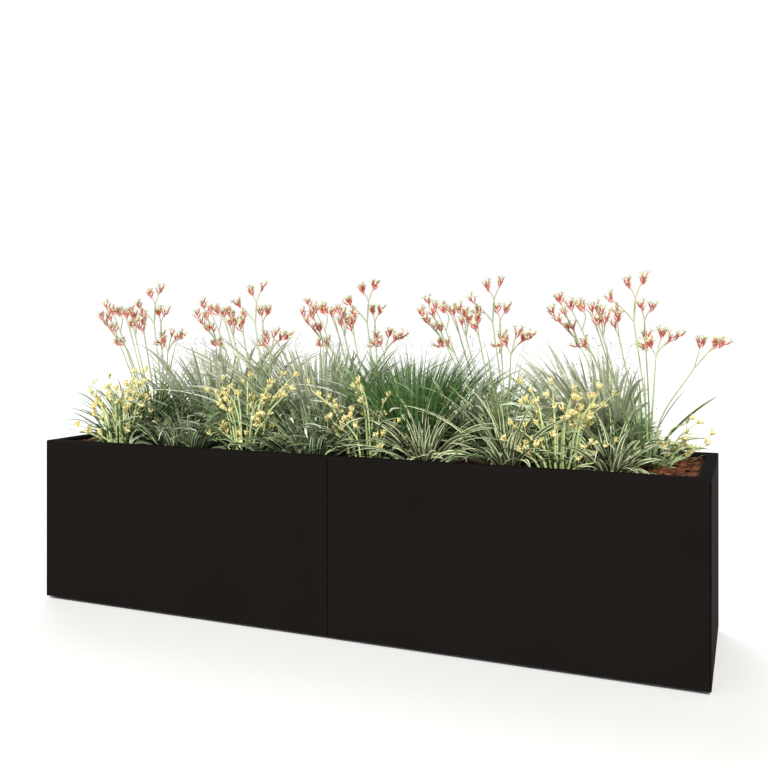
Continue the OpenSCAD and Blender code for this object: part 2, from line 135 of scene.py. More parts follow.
class Shader:
    """A new node material, with short ways to add and join its nodes."""

    def __init__(self, name):
        self.material = bpy.data.materials.new(name)
        self.material.use_nodes = True
        self.tree = self.material.node_tree
        self.bsdf = self.tree.nodes["Principled BSDF"]

    def add(self, kind, **settings):
        node = self.tree.nodes.new(kind)
        for key, value in settings.items():
            setattr(node, key, value)
        return node

    def join(self, output, target):
        self.tree.links.new(output, target)

    def set(self, **values):
        """Sets the shader's own sockets, with _ for a space in a socket's name."""
        for key, value in values.items():
            self.bsdf.inputs[key.replace("_", " ")].default_value = value

    def value(self, socket, source):
        """Joins a socket if source is an output, or sets it if it is a number or a colour."""
        if isinstance(source, bpy.types.NodeSocket):
            self.join(source, socket)
        else:
            socket.default_value = source

    def place(self):
        """The point on the surface, in the piece's own frame and in metres."""
        return self.add("ShaderNodeTexCoord").outputs["Object"]

    def stretched(self, vector, scale):
        node = self.add("ShaderNodeMapping")
        node.inputs["Scale"].default_value = scale
        self.join(vector, node.inputs["Vector"])
        return node.outputs["Vector"]

    def noise(self, vector, scale, detail=2.0, roughness=0.5):
        node = self.add("ShaderNodeTexNoise")
        node.inputs["Scale"].default_value = scale
        node.inputs["Detail"].default_value = detail
        node.inputs["Roughness"].default_value = roughness
        self.join(vector, node.inputs["Vector"])
        return node.outputs["Fac"]

    def ramp(self, factor, *stops):
        """Colour ramp: each stop is (position, (r, g, b))."""
        node = self.add("ShaderNodeValToRGB")
        elements = node.color_ramp.elements
        while len(elements) < len(stops):
            elements.new(0.5)
        for element, (position, colour) in zip(elements, stops):
            element.position = position
            element.color = (*colour, 1)
        self.join(factor, node.inputs["Fac"])
        return node.outputs["Color"]

    def span(self, factor, low, high, from_low=0.0, from_high=1.0):
        """Maps a number from one range to another, clamped."""
        node = self.add("ShaderNodeMapRange")
        self.join(factor, node.inputs["Value"])
        ends = (("From Min", from_low), ("From Max", from_high), ("To Min", low), ("To Max", high))
        for key, number in ends:
            node.inputs[key].default_value = number
        return node.outputs["Result"]

    def mix(self, factor, first, second, blend="MIX"):
        node = self.add("ShaderNodeMix", data_type="RGBA", blend_type=blend)
        self.value(node.inputs["Factor"], factor)
        self.value(node.inputs["A"], (*first, 1) if isinstance(first, tuple) else first)
        self.value(node.inputs["B"], (*second, 1) if isinstance(second, tuple) else second)
        return node.outputs["Result"]

    def math(self, operation, first, second=0.0):
        node = self.add("ShaderNodeMath", operation=operation)
        self.value(node.inputs[0], first)
        self.value(node.inputs[1], second)
        return node.outputs[0]

    def scaled(self, colour, factor):
        node = self.add("ShaderNodeVectorMath", operation="SCALE")
        self.join(colour, node.inputs[0])
        self.join(factor, node.inputs["Scale"])
        return node.outputs[0]

    def bump(self, height, distance, strength=1.0):
        node = self.add("ShaderNodeBump")
        node.inputs["Distance"].default_value = distance
        node.inputs["Strength"].default_value = strength
        self.join(height, node.inputs["Height"])
        self.join(node.outputs["Normal"], self.bsdf.inputs["Normal"])

    def colour(self, output):
        self.join(output, self.bsdf.inputs["Base Color"])

    def roughness(self, output):
        self.join(output, self.bsdf.inputs["Roughness"])


def floor_material():
    s = Shader("floor")
    s.set(Roughness=0.9, Specular_IOR_Level=0.1)
    tone = s.noise(s.place(), 0.6, 2)
    s.colour(s.ramp(tone, (0.3, (0.86, 0.86, 0.86)), (0.7, (0.88, 0.88, 0.88))))
    return s.material


def powder_coat():
    """Matt black powder coat, with faint clouds, a fine grain and a slight orange peel."""
    s = Shader("powder_coat_black")
    s.set(Specular_IOR_Level=0.012)
    place = s.place()
    cloud = s.noise(place, 3.0, 4, 0.6)
    grain = s.noise(place, 900, 2)
    base = s.ramp(cloud, (0.25, (0.0067, 0.0055, 0.0051)), (0.75, (0.0083, 0.0069, 0.0064)))
    s.colour(s.mix(s.span(grain, 0, 0.35, 0.45, 0.8), base, (0.015, 0.013, 0.012)))
    s.roughness(s.span(cloud, 0.66, 0.76, 0.3, 0.7))
    peel = s.noise(place, 420, 3, 0.55)
    s.bump(peel, 0.0004, 0.35)
    return s.material


def zinc_plate(name, tint):
    """Zinc plating: small patches, slightly dulled in places."""
    s = Shader(name)
    s.set(Metallic=1.0)
    place = s.place()
    patches = s.noise(place, 60, 3)
    s.colour(s.ramp(patches, (0.3, tuple(0.75 * c for c in tint)), (0.7, tint)))
    s.roughness(s.span(s.noise(place, 25, 4), 0.32, 0.52, 0.3, 0.7))
    s.bump(patches, 0.0002, 0.3)
    return s.material


def moulded(name, colour, scale, roughness):
    """Moulded rubber or plastic with a fine moulded grain."""
    s = Shader(name)
    place = s.place()
    grain = s.noise(place, scale, 3)
    darker, lighter = (tuple(share * c for c in colour) for share in (0.7, 1.3))
    s.colour(s.ramp(grain, (0.3, darker), (0.7, lighter)))
    s.roughness(s.span(grain, roughness - 0.06, roughness + 0.06, 0.3, 0.7))
    s.bump(grain, 0.0003, 0.5)
    return s.material


def loose_fill(name, dark, light, scale, depth):
    """Loose gravel or potting mix, seen as lumps. depth is how far they stand out."""
    s = Shader(name)
    place = s.place()
    lumps = s.add("ShaderNodeTexVoronoi")
    lumps.inputs["Scale"].default_value = scale
    s.join(place, lumps.inputs["Vector"])
    fine = s.noise(place, scale * 4, 4)
    tone = s.mix(0.5, lumps.outputs["Color"], fine)
    s.colour(s.ramp(tone, (0.2, dark), (0.8, light)))
    s.set(Roughness=0.95)
    s.bump(lumps.outputs["Distance"], depth)
    return s.material


def felt():
    """Grey needle-punched felt."""
    s = Shader("filter_felt")
    place = s.place()
    fibres = s.noise(s.stretched(place, (1, 3, 1)), 500, 4, 0.7)
    s.colour(s.ramp(fibres, (0.3, (0.30, 0.31, 0.30)), (0.7, (0.52, 0.53, 0.52))))
    s.set(Roughness=0.95, Sheen_Weight=0.3)
    s.bump(fibres, 0.0006)
    return s.material


def plant_marks(s):
    """The marks that each plant's mesh carries: along a leaf or flower, across it, and one
    number for each leaf or flower."""
    attribute = s.add("ShaderNodeAttribute", attribute_name="marks")
    parts = s.add("ShaderNodeSeparateXYZ")
    s.join(attribute.outputs["Vector"], parts.inputs[0])
    return parts.outputs["X"], parts.outputs["Y"], parts.outputs["Z"]


def leaf_material(name, base, blade, tip, edge=None, edge_share=0.3, vary=0.3, veins=5):
    """A strap leaf or a stem: ridged along its length, with a colour at its base, on its blade and
    at its tip. Where base is far darker than blade, as in most leaves, that dark foot is painted
    shade, for the shade that falls low in a clump. edge is the colour of its margins, which take
    edge_share of each half of its width. vary is how much one leaf's brightness differs from
    another's, and veins is how many ridges each has."""
    s = Shader(name)
    along, across, own = plant_marks(s)
    # The ramp runs from base to blade over the lower half of the leaf; a dark base paints shade
    # onto the leaf's foot, where the clump shades it
    colour = s.ramp(along, (0.10, base), (0.52, blade), (0.80, blade), (1.0, tip))
    ridges = s.math("SINE", s.math("MULTIPLY", across, 2 * math.pi * veins))
    colour = s.mix(s.span(ridges, 0.0, 0.45, -0.4, 1), colour, tuple(0.5 * c for c in blade))
    # The margin colour is the leaf's own edge colour; on the silver leaves it is partly painted
    # highlight as well
    if edge:
        from_middle = s.math("MULTIPLY", s.math("ABSOLUTE", s.math("SUBTRACT", across, 0.5)), 2.0)
        start = 1 - edge_share
        margin = s.math("MULTIPLY", s.span(from_middle, 0, 1, start - 0.06, start + 0.06),
                        s.span(along, 0.15, 1.0, 0.08, 0.5))
        colour = s.mix(margin, colour, edge)
    mottle = s.noise(s.place(), 70, 3)
    brightness = s.math("ADD", s.span(own, 1 - vary, 1 + vary),
                        s.span(mottle, -0.12, 0.12, 0.3, 0.7))
    s.colour(s.scaled(colour, brightness))
    s.set(Specular_IOR_Level=0.18)
    s.roughness(s.span(mottle, 0.55, 0.7, 0.3, 0.7))
    s.bump(ridges, 0.00006, 0.6)
    return s.material


def flower_material(name, foot, tube, throat, claw):
    """A felted kangaroo-paw flower, coloured from its foot to the tips of its claws."""
    s = Shader(name)
    along, _, own = plant_marks(s)
    colour = s.ramp(along, (0.0, foot), (0.2, tube), (0.42, tube), (0.54, throat),
                    (TUBE_SHARE, claw))
    fuzz = s.noise(s.place(), 1500, 2)
    colour = s.mix(s.span(fuzz, 0.0, 0.35, 0.4, 0.75), colour, claw)
    s.colour(s.scaled(colour, s.span(own, 0.75, 1.2)))
    s.set(Roughness=0.75, Sheen_Weight=0.25, Specular_IOR_Level=0.25)
    s.bump(fuzz, 0.0001, 0.6)
    return s.material


def bark_material():
    """Red-brown shredded bark, each sliver with its own shade. It also serves the CAD mulch, which
    has no marks and so is darker, as the shade between slivers is."""
    s = Shader("bark_mulch")
    _, _, own = plant_marks(s)
    fibres = s.noise(s.place(), 260, 5, 0.65)
    tone = s.math("ADD", s.math("MULTIPLY", own, 0.6), s.math("MULTIPLY", fibres, 0.5))
    s.colour(s.ramp(tone, (0.15, (0.022, 0.007, 0.003)), (0.5, (0.095, 0.030, 0.010)),
                    (0.8, (0.21, 0.072, 0.026)), (1.0, (0.32, 0.14, 0.06))))
    s.set(Roughness=0.85, Specular_IOR_Level=0.25)
    s.bump(fibres, 0.0012, 0.8)
    return s.material


# ---------- mesh helpers ----------

class Shape:
    """Collects closed tubes and blades, with marks on every vertex, and makes one piece."""

    def __init__(self):
        self.points = []
        self.faces = []
        self.marks = []

    def rings(self, rings, marks):
        """Joins rings of equal count into one closed skin. marks has one list for each ring."""
        first = len(self.points)
        count = len(rings[0])
        for ring, ring_marks in zip(rings, marks):
            self.points.extend(ring)
            self.marks.extend(ring_marks)
        for i in range(len(rings) - 1):
            a = first + i * count
            for j in range(count):
                k = (j + 1) % count
                self.faces.append((a + j, a + k, a + count + k, a + count + j))
        last = first + (len(rings) - 1) * count
        self.faces.append(tuple(first + j for j in reversed(range(count))))
        self.faces.append(tuple(last + j for j in range(count)))

    def tube(self, path, radii, sides, own, start=0.0, end=1.0):
        """A round tube along a path. Its marks run from start to end along it."""
        rings, marks = [], []
        side = None
        for i, point in enumerate(path):
            ahead = path[min(i + 1, len(path) - 1)] - path[max(i - 1, 0)]
            ahead.normalize()
            if side is None:
                side = ahead.orthogonal().normalized()
            side = (side - ahead * side.dot(ahead)).normalized()
            other = ahead.cross(side)
            ring = []
            for j in range(sides):
                turn = 2 * math.pi * j / sides
                ring.append(point + (side * math.cos(turn) + other * math.sin(turn)) * radii[i])
            rings.append(ring)
            mark = start + (end - start) * i / (len(path) - 1)
            marks.append([(mark, j / sides, own) for j in range(sides)])
        self.rings(rings, marks)

    def piece(self, name, material, node_slot, sharp=55):
        """Makes the skins into one piece, smooth up to an angle of sharp degrees."""
        mesh = bpy.data.meshes.new(name)
        mesh.from_pydata([tuple(p) for p in self.points], [], self.faces)
        layer = mesh.attributes.new("marks", "FLOAT_VECTOR", "POINT")
        layer.data.foreach_set("vector", [number for mark in self.marks for number in mark])
        mesh.shade_smooth()
        mesh.set_sharp_from_angle(angle=math.radians(sharp))
        mesh.materials.append(material)
        piece = bpy.data.objects.new(name, mesh)
        bpy.context.collection.objects.link(piece)
        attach(piece, "root")
        return piece


def smooth_path(points, steps):
    """A smooth curve through points (Catmull-Rom), with steps pieces in each gap."""
    ends = [points[0] * 2 - points[1], *points, points[-1] * 2 - points[-2]]
    path = []
    for i in range(1, len(ends) - 2):
        a, b, c, d = ends[i - 1:i + 3]
        for k in range(steps):
            t = k / steps
            path.append(0.5 * (2 * b + (c - a) * t + (2 * a - 5 * b + 4 * c - d) * t * t
                               + (3 * b - 3 * c + d - a) * t * t * t))
    path.append(points[-1].copy())
    return path


def soft_limit(value, limit, soft=0.10):
    """Value, eased so that it never passes limit on either side."""
    reach = abs(value)
    start = limit - soft
    if reach > start:
        reach = start + soft * math.tanh((reach - start) / soft)
    return math.copysign(reach, value)


def keep_inside(point, low):
    """Keeps a point above the mulch, behind the two long rims, and above the end rims where it
    leans out over them."""
    point.y = soft_limit(point.y, HALF_D - RIM_W - RIM_GAP)
    point.x = soft_limit(point.x, HALF_L + END_OVERHANG, 0.06)
    before_rim, climb = 0.05, 0.04
    onto_rim = min(max((abs(point.x) - HALF_L + RIM_W + before_rim) / climb, 0), 1)
    low = max(low, MULCH_Z + onto_rim * (RIM_Z + RIM_CLEARANCE - MULCH_Z))
    point.z = max(point.z, low)
    return point


def crowding(start, slope, limit, length):
    """0 where a leaf of this length, going from start towards a wall at limit, has room, up to 0.8
    where it has none. slope is how directly it heads for the wall."""
    room = max(limit - start * math.copysign(1, slope), 0.01) / max(abs(slope), 0.01)
    return min(max(1 - room / (0.8 * length), 0), 0.8)


def blade(shape, rng, root, heading, length, width, rise, droop, fold=0.25, segments=10,
          taper=2.6, bend_from=0.0, over_end=False, twist=0.8):
    """One strap leaf. It leaves the root at the angle rise above level, in the direction
    heading, and beyond bend_from of its length it turns down, by droop at its tip. Its margins lie
    below its middle by fold, a higher taper keeps it wide for longer, and twist is how much its tip
    may roll. It is shorter and steeper where the planter's walls leave it little room, unless it
    may hang out over_end."""
    own = rng.random()
    crowded = crowding(root.y, math.sin(heading), HALF_D - RIM_W, length)
    near_end = 0
    if not over_end:
        near_end = crowding(root.x, math.cos(heading), HALF_L - RIM_W - END_ROOM, length)
    length *= (1 - 0.55 * crowded) * (1 - 0.9 * near_end)
    steep = 1.3
    rise += (steep - rise) * 0.45 * crowded
    step = length / segments
    sway = rng.uniform(-0.25, 0.25)
    roll = rng.gauss(0, twist)
    point = root.copy()
    rings, marks = [], []
    for i in range(segments + 1):
        t = i / segments
        bent = max(t - bend_from, 0) / (1 - bend_from)
        lift = rise - droop * bent ** 1.6
        turn = heading + sway * t
        flat = Vector((math.cos(turn), math.sin(turn), 0))
        ahead = flat * math.cos(lift) + UP * math.sin(lift)
        side = Vector((-flat.y, flat.x, 0))
        face = ahead.cross(side)
        side = (side * math.cos(roll * t) + face * math.sin(roll * t)).normalized()
        face = ahead.cross(side)
        # Narrow at its foot, at its full width from 0.3 of its length, and pointed
        widening = 0.55 + 0.45 * min(t / 0.3, 1)
        narrowing = max(1 - t ** taper, 0.02) ** 0.8
        half = 0.5 * width * widening * narrowing
        # Only its foot goes into the mulch
        low = MULCH_Z + 0.002 if t > 0.2 else MULCH_Z - 0.02
        centre = keep_inside(point.copy(), low)
        thick = 0.0004 + 0.06 * half
        rings.append([
            centre - side * half - face * fold * half, centre + face * thick * 0.5,
            centre + side * half - face * fold * half, centre - face * thick,
        ])
        marks.append([(t, 0.0, own), (t, 0.5, own), (t, 1.0, own), (t, 0.5, own)])
        point += ahead * step
    shape.rings(rings, marks)


def graded(rng, pair, share, vary):
    """A number at share of the way from the first of a pair to the second, which may be off by
    vary of itself."""
    return (pair[0] + (pair[1] - pair[0]) * share) * rng.uniform(1 - vary, 1 + vary)


def leaf_clump(shape, rng, crown, count, spread, length, width, rise, droop, fold=0.25,
               segments=10, taper=2.6, bend_from=0.0, loose=0.08, top=1.0, over_end=False):
    """Leaves set round a crown by the golden angle. spread is how far their feet stand from it,
    along the planter and across it. length, width, rise and droop are pairs: the innermost leaf's
    and the outermost leaf's. loose is how far a leaf's rise may stray, in radians, and top is the
    height that a leaf may reach above its foot. The rest is as in blade."""
    for i in range(count):
        share = (i + 0.5) / count
        heading = i * GOLDEN_ANGLE + rng.uniform(-0.3, 0.3)
        out = math.sqrt(share) * rng.uniform(0.7, 1.0)
        foot = Vector((math.cos(heading) * spread[0], math.sin(heading) * spread[1], 0))
        root = crown + foot * out
        root.z -= LEAF_ROOT_DEPTH
        leaf_length = graded(rng, length, share, 0.18)
        leaf_width = graded(rng, width, share, 0.15)
        leaf_rise = graded(rng, rise, share, 0.0) + rng.gauss(0, loose)
        leaf_droop = graded(rng, droop, share, 0.25)
        climb = max(math.sin(leaf_rise - 0.35 * leaf_droop), 0.2)
        leaf_length = min(leaf_length, top * rng.uniform(0.78, 1.0) / climb)
        blade(shape, rng, root, heading, leaf_length, leaf_width, leaf_rise, leaf_droop, fold,
              segments, taper, bend_from, over_end)


# ---------- the metal box and what lies in it ----------

def by_start(name, table):
    """What the table gives for the first of its starts that the name has, or None."""
    return next((given for start, given in table if name.startswith(start)), None)


def dress_cad():
    """Gives every CAD node that stays visible its material, by the start of its name."""
    coat = powder_coat()
    steel = zinc_plate("zinc_steel", (0.56, 0.58, 0.60))
    bright = zinc_plate("zinc_fasteners", (0.70, 0.71, 0.72))
    # Painted shade: the seam's bolts and nuts are coloured near black so that they read as the
    # shade inside the seam gap, not as a finish known on the real ones
    black = zinc_plate("seam_shade_fasteners", (0.045, 0.045, 0.047))
    rubber = moulded("rubber", (0.020, 0.020, 0.021), scale=220, roughness=0.8)
    plastic = moulded("drain_plastic", (0.035, 0.035, 0.038), scale=350, roughness=0.55)
    gravel = loose_fill("gravel", (0.10, 0.07, 0.055), (0.42, 0.33, 0.27), scale=90, depth=0.006)
    mix = loose_fill("potting_mix", (0.012, 0.007, 0.004), (0.090, 0.055, 0.033), scale=140,
                     depth=0.003)
    table = (
        ("front_panel", coat), ("back_panel", coat), ("end_panel", coat), ("floor_tray", steel),
        ("floor_bearer", steel), ("rib", steel), ("cross_brace", steel), ("foot_bolts", bright),
        ("foot_nuts", bright), ("seam", black), ("corner_nuts", bright), ("brace", bright),
        ("foot", rubber), ("drain_outlet", plastic), ("drainage_gravel", gravel),
        ("potting_mix", mix), ("bark_mulch", BARK),
    )
    for name, node in nodes.items():
        material = by_start(name, table)
        if material:
            node.data.materials.clear()
            node.data.materials.append(material)


def filter_sheet():
    """The geotextile on the gravel: the CAD sheet's outline, laid with a slight unevenness."""
    node = nodes["filter_fabric"]
    low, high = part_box("filter_fabric")
    mesh = node.data.copy()
    mesh.name = "filter_sheet"
    work = bmesh.new()
    work.from_mesh(mesh)
    cell, unevenness = 0.08, 0.0004
    for axis, normal in ((0, Vector((1, 0, 0))), (1, Vector((0, 1, 0)))):
        for i in range(1, int((high[axis] - low[axis]) / cell) + 1):
            bmesh.ops.bisect_plane(work, geom=[*work.verts, *work.edges, *work.faces],
                                   plane_co=normal * (low[axis] + i * cell), plane_no=normal)
    for vertex in work.verts:
        vertex.co.z += unevenness * noise.noise(Vector((vertex.co.x * 7, vertex.co.y * 7, 0)))
    work.to_mesh(mesh)
    work.free()
    mesh.materials.clear()
    mesh.materials.append(felt())
    piece = bpy.data.objects.new("filter_sheet", mesh)
    bpy.context.collection.objects.link(piece)
    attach(piece, "root")
    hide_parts("filter_fabric")


def bark_shreds(count=6900):
    """Torn slivers of bark that lie every way on the mulch, a little heaped in places."""
    rng = random.Random("bark")
    shape = Shape()
    gap, heaping, lift = 0.010, 0.004, 0.0035
    reach_x = HALF_L - RIM_W - gap
    reach_y = HALF_D - RIM_W - gap
    for _ in range(count):
        x = rng.uniform(-reach_x, reach_x)
        y = rng.uniform(-reach_y, reach_y)
        heap = heaping * noise.noise(Vector((x * 9, y * 9, 3)))
        turn = rng.uniform(0, math.pi)
        tilt = rng.gauss(0, 0.12)
        length = rng.uniform(0.016, 0.056)
        half = rng.uniform(0.0018, 0.0052)
        thick = rng.uniform(0.0008, 0.0020)
        level = math.cos(tilt)
        along = Vector((math.cos(turn) * level, math.sin(turn) * level, math.sin(tilt)))
        roll = rng.gauss(0, 0.35)
        side = along.cross(UP).normalized() * math.cos(roll) + UP * math.sin(roll)
        face = side.cross(along)
        middle = Vector((x, y, MULCH_Z + lift + heap + rng.uniform(-0.002, 0.004)))
        own = rng.random()
        bow = rng.uniform(-0.1, 0.1) * length
        rings = []
        for t in (-0.5, -0.15, 0.2, 0.5):
            centre = middle + along * length * t + side * bow * (1 - 4 * t * t)
            width = half * (rng.uniform(0.25, 0.5) if abs(t) == 0.5 else rng.uniform(0.8, 1.1))
            ring = [centre - side * width - face * thick, centre + side * width - face * thick,
                    centre + side * width + face * thick, centre - side * width + face * thick]
            for point in ring:
                point.x = min(max(point.x, -reach_x), reach_x)
                point.y = min(max(point.y, -reach_y), reach_y)
            rings.append(ring)
        shape.rings(rings, [[(t, j / 4, own) for j in range(4)] for t in (0, 0.33, 0.66, 1)])
    shape.piece("bark_shreds", BARK, "bark_mulch", sharp=30)


# ---------- flowers ----------

def flower(shape, rng, foot, aim, length, girth, claws=6, claw_length=0.42, flare=0.9):
    """One kangaroo-paw flower: a bent woolly tube that swells, then splits into claws. A claw is
    claw_length of the tube's length, and bends outwards by flare."""
    own = rng.random()
    aim = aim.normalized()
    bend = (UP - aim * UP.dot(aim)) * 0.35
    path, radii = [], []
    for t, swell in ((0, 0.40), (0.2, 0.75), (0.55, 1.0), (0.85, 0.9), (1.0, 1.15)):
        path.append(foot + (aim * t + bend * t * t) * length)
        radii.append(girth * swell)
    shape.tube(path, radii, sides=6, own=own, end=TUBE_SHARE)
    mouth = path[-1]
    ahead = (path[-1] - path[-2]).normalized()
    side = ahead.orthogonal().normalized()
    other = ahead.cross(side)
    for j in range(claws):
        turn = 2 * math.pi * (j + 0.5 * rng.random()) / claws
        out = side * math.cos(turn) + other * math.sin(turn)
        across = ahead.cross(out)
        reach = length * claw_length * rng.uniform(0.8, 1.15)
        rings, marks = [], []
        for t, width in ((0, 0.55), (0.5, 0.50), (1.0, 0.10)):
            way = ahead * (1 - 0.35 * flare * t) + out * flare * t
            centre = mouth + out * girth * 0.85 + way * reach * t
            half = girth * width
            rings.append([centre - across * half, centre + out * half * 0.4,
                          centre + across * half, centre - out * half * 0.4])
            mark = TUBE_SHARE + (1 - TUBE_SHARE) * t
            marks.append([(mark, k / 4, own) for k in range(4)])
        shape.rings(rings, marks)


def bud_dot(shape, rng, centre, radius):
    """A tiny round flower or bud."""
    own = rng.random()
    path = [centre + UP * radius * t for t in (-1, -0.5, 0.5, 1)]
    shape.tube(path, [radius * r for r in (0.15, 0.9, 0.9, 0.15)], sides=5, own=own)


def cluster(shape, rng, foot, aim, count, length, girth, spread, stagger=0.5, **form):
    """Flowers round one stalk's end, each on its own short stalk and turned upwards. They fan out
    by spread and start up to stagger of a flower's length back along the stalk."""
    aim = aim.normalized()
    side = aim.cross(Vector((0.2, -1, 0.1))).normalized()
    other = aim.cross(side)
    for j in range(count):
        turn = j * GOLDEN_ANGLE + rng.uniform(-0.4, 0.4)
        out = side * math.cos(turn) + other * math.sin(turn)
        way = (aim + out * spread * rng.uniform(0.4, 1.0) + UP * 0.3).normalized()
        start = foot - aim * length * stagger * j / count
        elbow = start + way * length * rng.uniform(0.15, 0.45)
        stalk = [start, start.lerp(elbow, 0.5) + aim * girth * 0.5, elbow]
        shape.tube(stalk, [girth * 0.45] * 3, sides=4, own=rng.random(), start=0.1, end=0.2)
        flower(shape, rng, elbow, way, length * rng.uniform(0.75, 1.15),
               girth * rng.uniform(0.85, 1.15), **form)


# ---------- red kangaroo paws ----------

# Each stem is a list of points (x, z) from the crown, then its branches, each a list of points
# from the stem's end to a flower head, as seen from the photo's camera. z is above the mulch.
RED_STEMS = (
    ([(-0.04, 0.0), (-0.13, 0.22), (-0.215, 0.40)], (
        [(-0.255, 0.45)], [(-0.255, 0.45), (-0.285, 0.475)], [(-0.27, 0.46), (-0.305, 0.505)],
        [(-0.235, 0.45)], [(-0.235, 0.45), (-0.265, 0.50)], [(-0.25, 0.48), (-0.28, 0.545)])),
    ([(-0.03, 0.0), (-0.12, 0.24), (-0.20, 0.44)], (
        [(-0.225, 0.49), (-0.24, 0.52)], [(-0.19, 0.49), (-0.213, 0.515)])),
    ([(-0.03, 0.0), (-0.09, 0.22), (-0.155, 0.43)], (
        [(-0.185, 0.50), (-0.21, 0.52)], [(-0.165, 0.47), (-0.18, 0.51)])),
    ([(-0.02, 0.0), (-0.075, 0.22), (-0.13, 0.42)], (
        [(-0.12, 0.475)], [(-0.148, 0.47)], [(-0.135, 0.47), (-0.155, 0.515)],
        [(-0.125, 0.45), (-0.134, 0.50)])),
    ([(-0.02, 0.0), (-0.10, 0.20), (-0.17, 0.36)], (
        [(-0.20, 0.395)], [(-0.20, 0.385), (-0.227, 0.39)])),
    ([(0.0, 0.0), (-0.045, 0.22), (-0.085, 0.42)], ([(-0.09, 0.48)], [(-0.10, 0.455)])),
    ([(0.0, 0.0), (0.0, 0.20), (-0.035, 0.47)], (
        [(-0.06, 0.50), (-0.09, 0.53), (-0.111, 0.545)], [(-0.06, 0.50), (-0.09, 0.505)],
        [(-0.03, 0.545), (-0.055, 0.59)], [(-0.03, 0.545), (-0.006, 0.605)])),
    ([(0.01, 0.0), (0.01, 0.20), (0.0, 0.40)], (
        [(-0.003, 0.47), (-0.013, 0.515)], [(-0.003, 0.47), (0.018, 0.515)],
        [(0.003, 0.42)], [(-0.006, 0.385)])),
    ([(0.01, 0.0), (0.02, 0.20), (0.03, 0.36)], (
        [(0.05, 0.39), (0.073, 0.415)], [(0.049, 0.43)], [(0.05, 0.39), (0.097, 0.42)],
        [(0.01, 0.40)])),
)
RED_STEM_LEANING_RIGHT = (
    [(0.02, 0.0), (0.05, 0.16), (0.15, 0.32)], (
        [(0.19, 0.37), (0.215, 0.40)], [(0.19, 0.37), (0.235, 0.395)],
        [(0.16, 0.36), (0.17, 0.40)]))
# How far behind the crown each stem stands, 0.4 m up
RED_DEPTHS = (0.035, -0.045, 0.065, -0.02, 0.045, -0.06, 0.0, 0.03, -0.05, 0.02)


def number_of(node):
    """The number at the end of a plant's name."""
    return int(node.rsplit("_", 1)[-1])


def crown_of(node):
    """The middle of a plant's foot on the mulch."""
    mesh = nodes[node].data
    lowest = min(vertex.co.z for vertex in mesh.vertices)
    foot = [vertex.co for vertex in mesh.vertices if vertex.co.z < lowest + 0.001]
    x = 0.5 * (min(co.x for co in foot) + max(co.x for co in foot))
    y = 0.5 * (min(co.y for co in foot) + max(co.y for co in foot))
    return Vector((x, y, MULCH_Z))


def thinning(path, start, drop):
    """Radii for a tube along path: start at its foot, and less by drop at its end."""
    size = len(path) - 1
    return [start - drop * i / size for i in range(size + 1)]


def plant_pieces(node, parts, node_slot):
    """Makes one piece for each (ending, shape, material), and lets them stand for the node."""
    for ending, shape, material in parts:
        piece = shape.piece(f"{node}_{ending}", material, node_slot)
        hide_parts(node)


def red_paw(node):
    """Tall stems that branch into flower heads, over upright leaves and a skirt of low ones."""
    rng = random.Random(node)
    crown = crown_of(node)
    last = number_of(node) == 5
    stems, flowers, leaves = Shape(), Shape(), Shape()
    camera = bpy.context.scene.camera.location
    sight = (crown.x - camera.x) / (crown.y - camera.y)
    stem_list = [*RED_STEMS, RED_STEM_LEANING_RIGHT] if last else RED_STEMS
    for (stem, branches), depth in zip(stem_list, RED_DEPTHS):
        shift = rng.gauss(0, 0.003)

        def at(x, z, more=0.0):
            """The point that the camera sees at x, z, at this stem's depth."""
            y = depth * min(z / 0.4, 1.1) + more
            return crown + Vector((x + shift + y * sight, y, z))

        points = [at(x, z) for x, z in stem]
        points[0].z -= 0.01
        path = smooth_path(points, 6)
        own = rng.random()
        stems.tube(path, thinning(path, 0.0036, 0.0014), sides=6, own=own, end=0.7)
        for branch in branches:
            more = rng.uniform(-0.012, 0.012)
            way = [points[-1]] + [at(x, z, more) for x, z in branch]
            branch_path = smooth_path(way, 5)
            count = len(branch_path)
            radii = [0.0021 - 0.0006 * i / count for i in range(count)]
            stems.tube(branch_path, radii, sides=5, own=own, start=0.7)
            aim = (way[-1] - way[-2]).normalized() + UP * 0.5
            cluster(flowers, rng, way[-1], aim, count=rng.choice((4, 5, 6, 7)), length=0.018,
                    girth=0.0030, spread=1.5, stagger=1.2, claw_length=0.62, flare=1.0)
    leaf_clump(leaves, rng, crown, count=38, spread=(0.07, 0.05), length=(0.40, 0.32),
               width=(0.010, 0.013), rise=(1.50, 0.95), droop=(0.35, 1.3), segments=9, taper=1.8,
               bend_from=0.15)
    skirt = 0.20 if last else 0.34
    leaf_clump(leaves, rng, crown, count=50, spread=(0.35 * skirt, 0.08), length=(skirt, skirt),
               width=(0.010, 0.013), rise=(1.1, 0.25), droop=(1.0, 1.0), segments=8, taper=2.0,
               loose=0.15)
    plant_pieces(node, (("stems", stems, RED_STEM), ("flowers", flowers, RED_FLOWER),
                        ("leaves", leaves, RED_LEAF)), "red_paw_plant")


# ---------- yellow kangaroo paws and the other clumps ----------

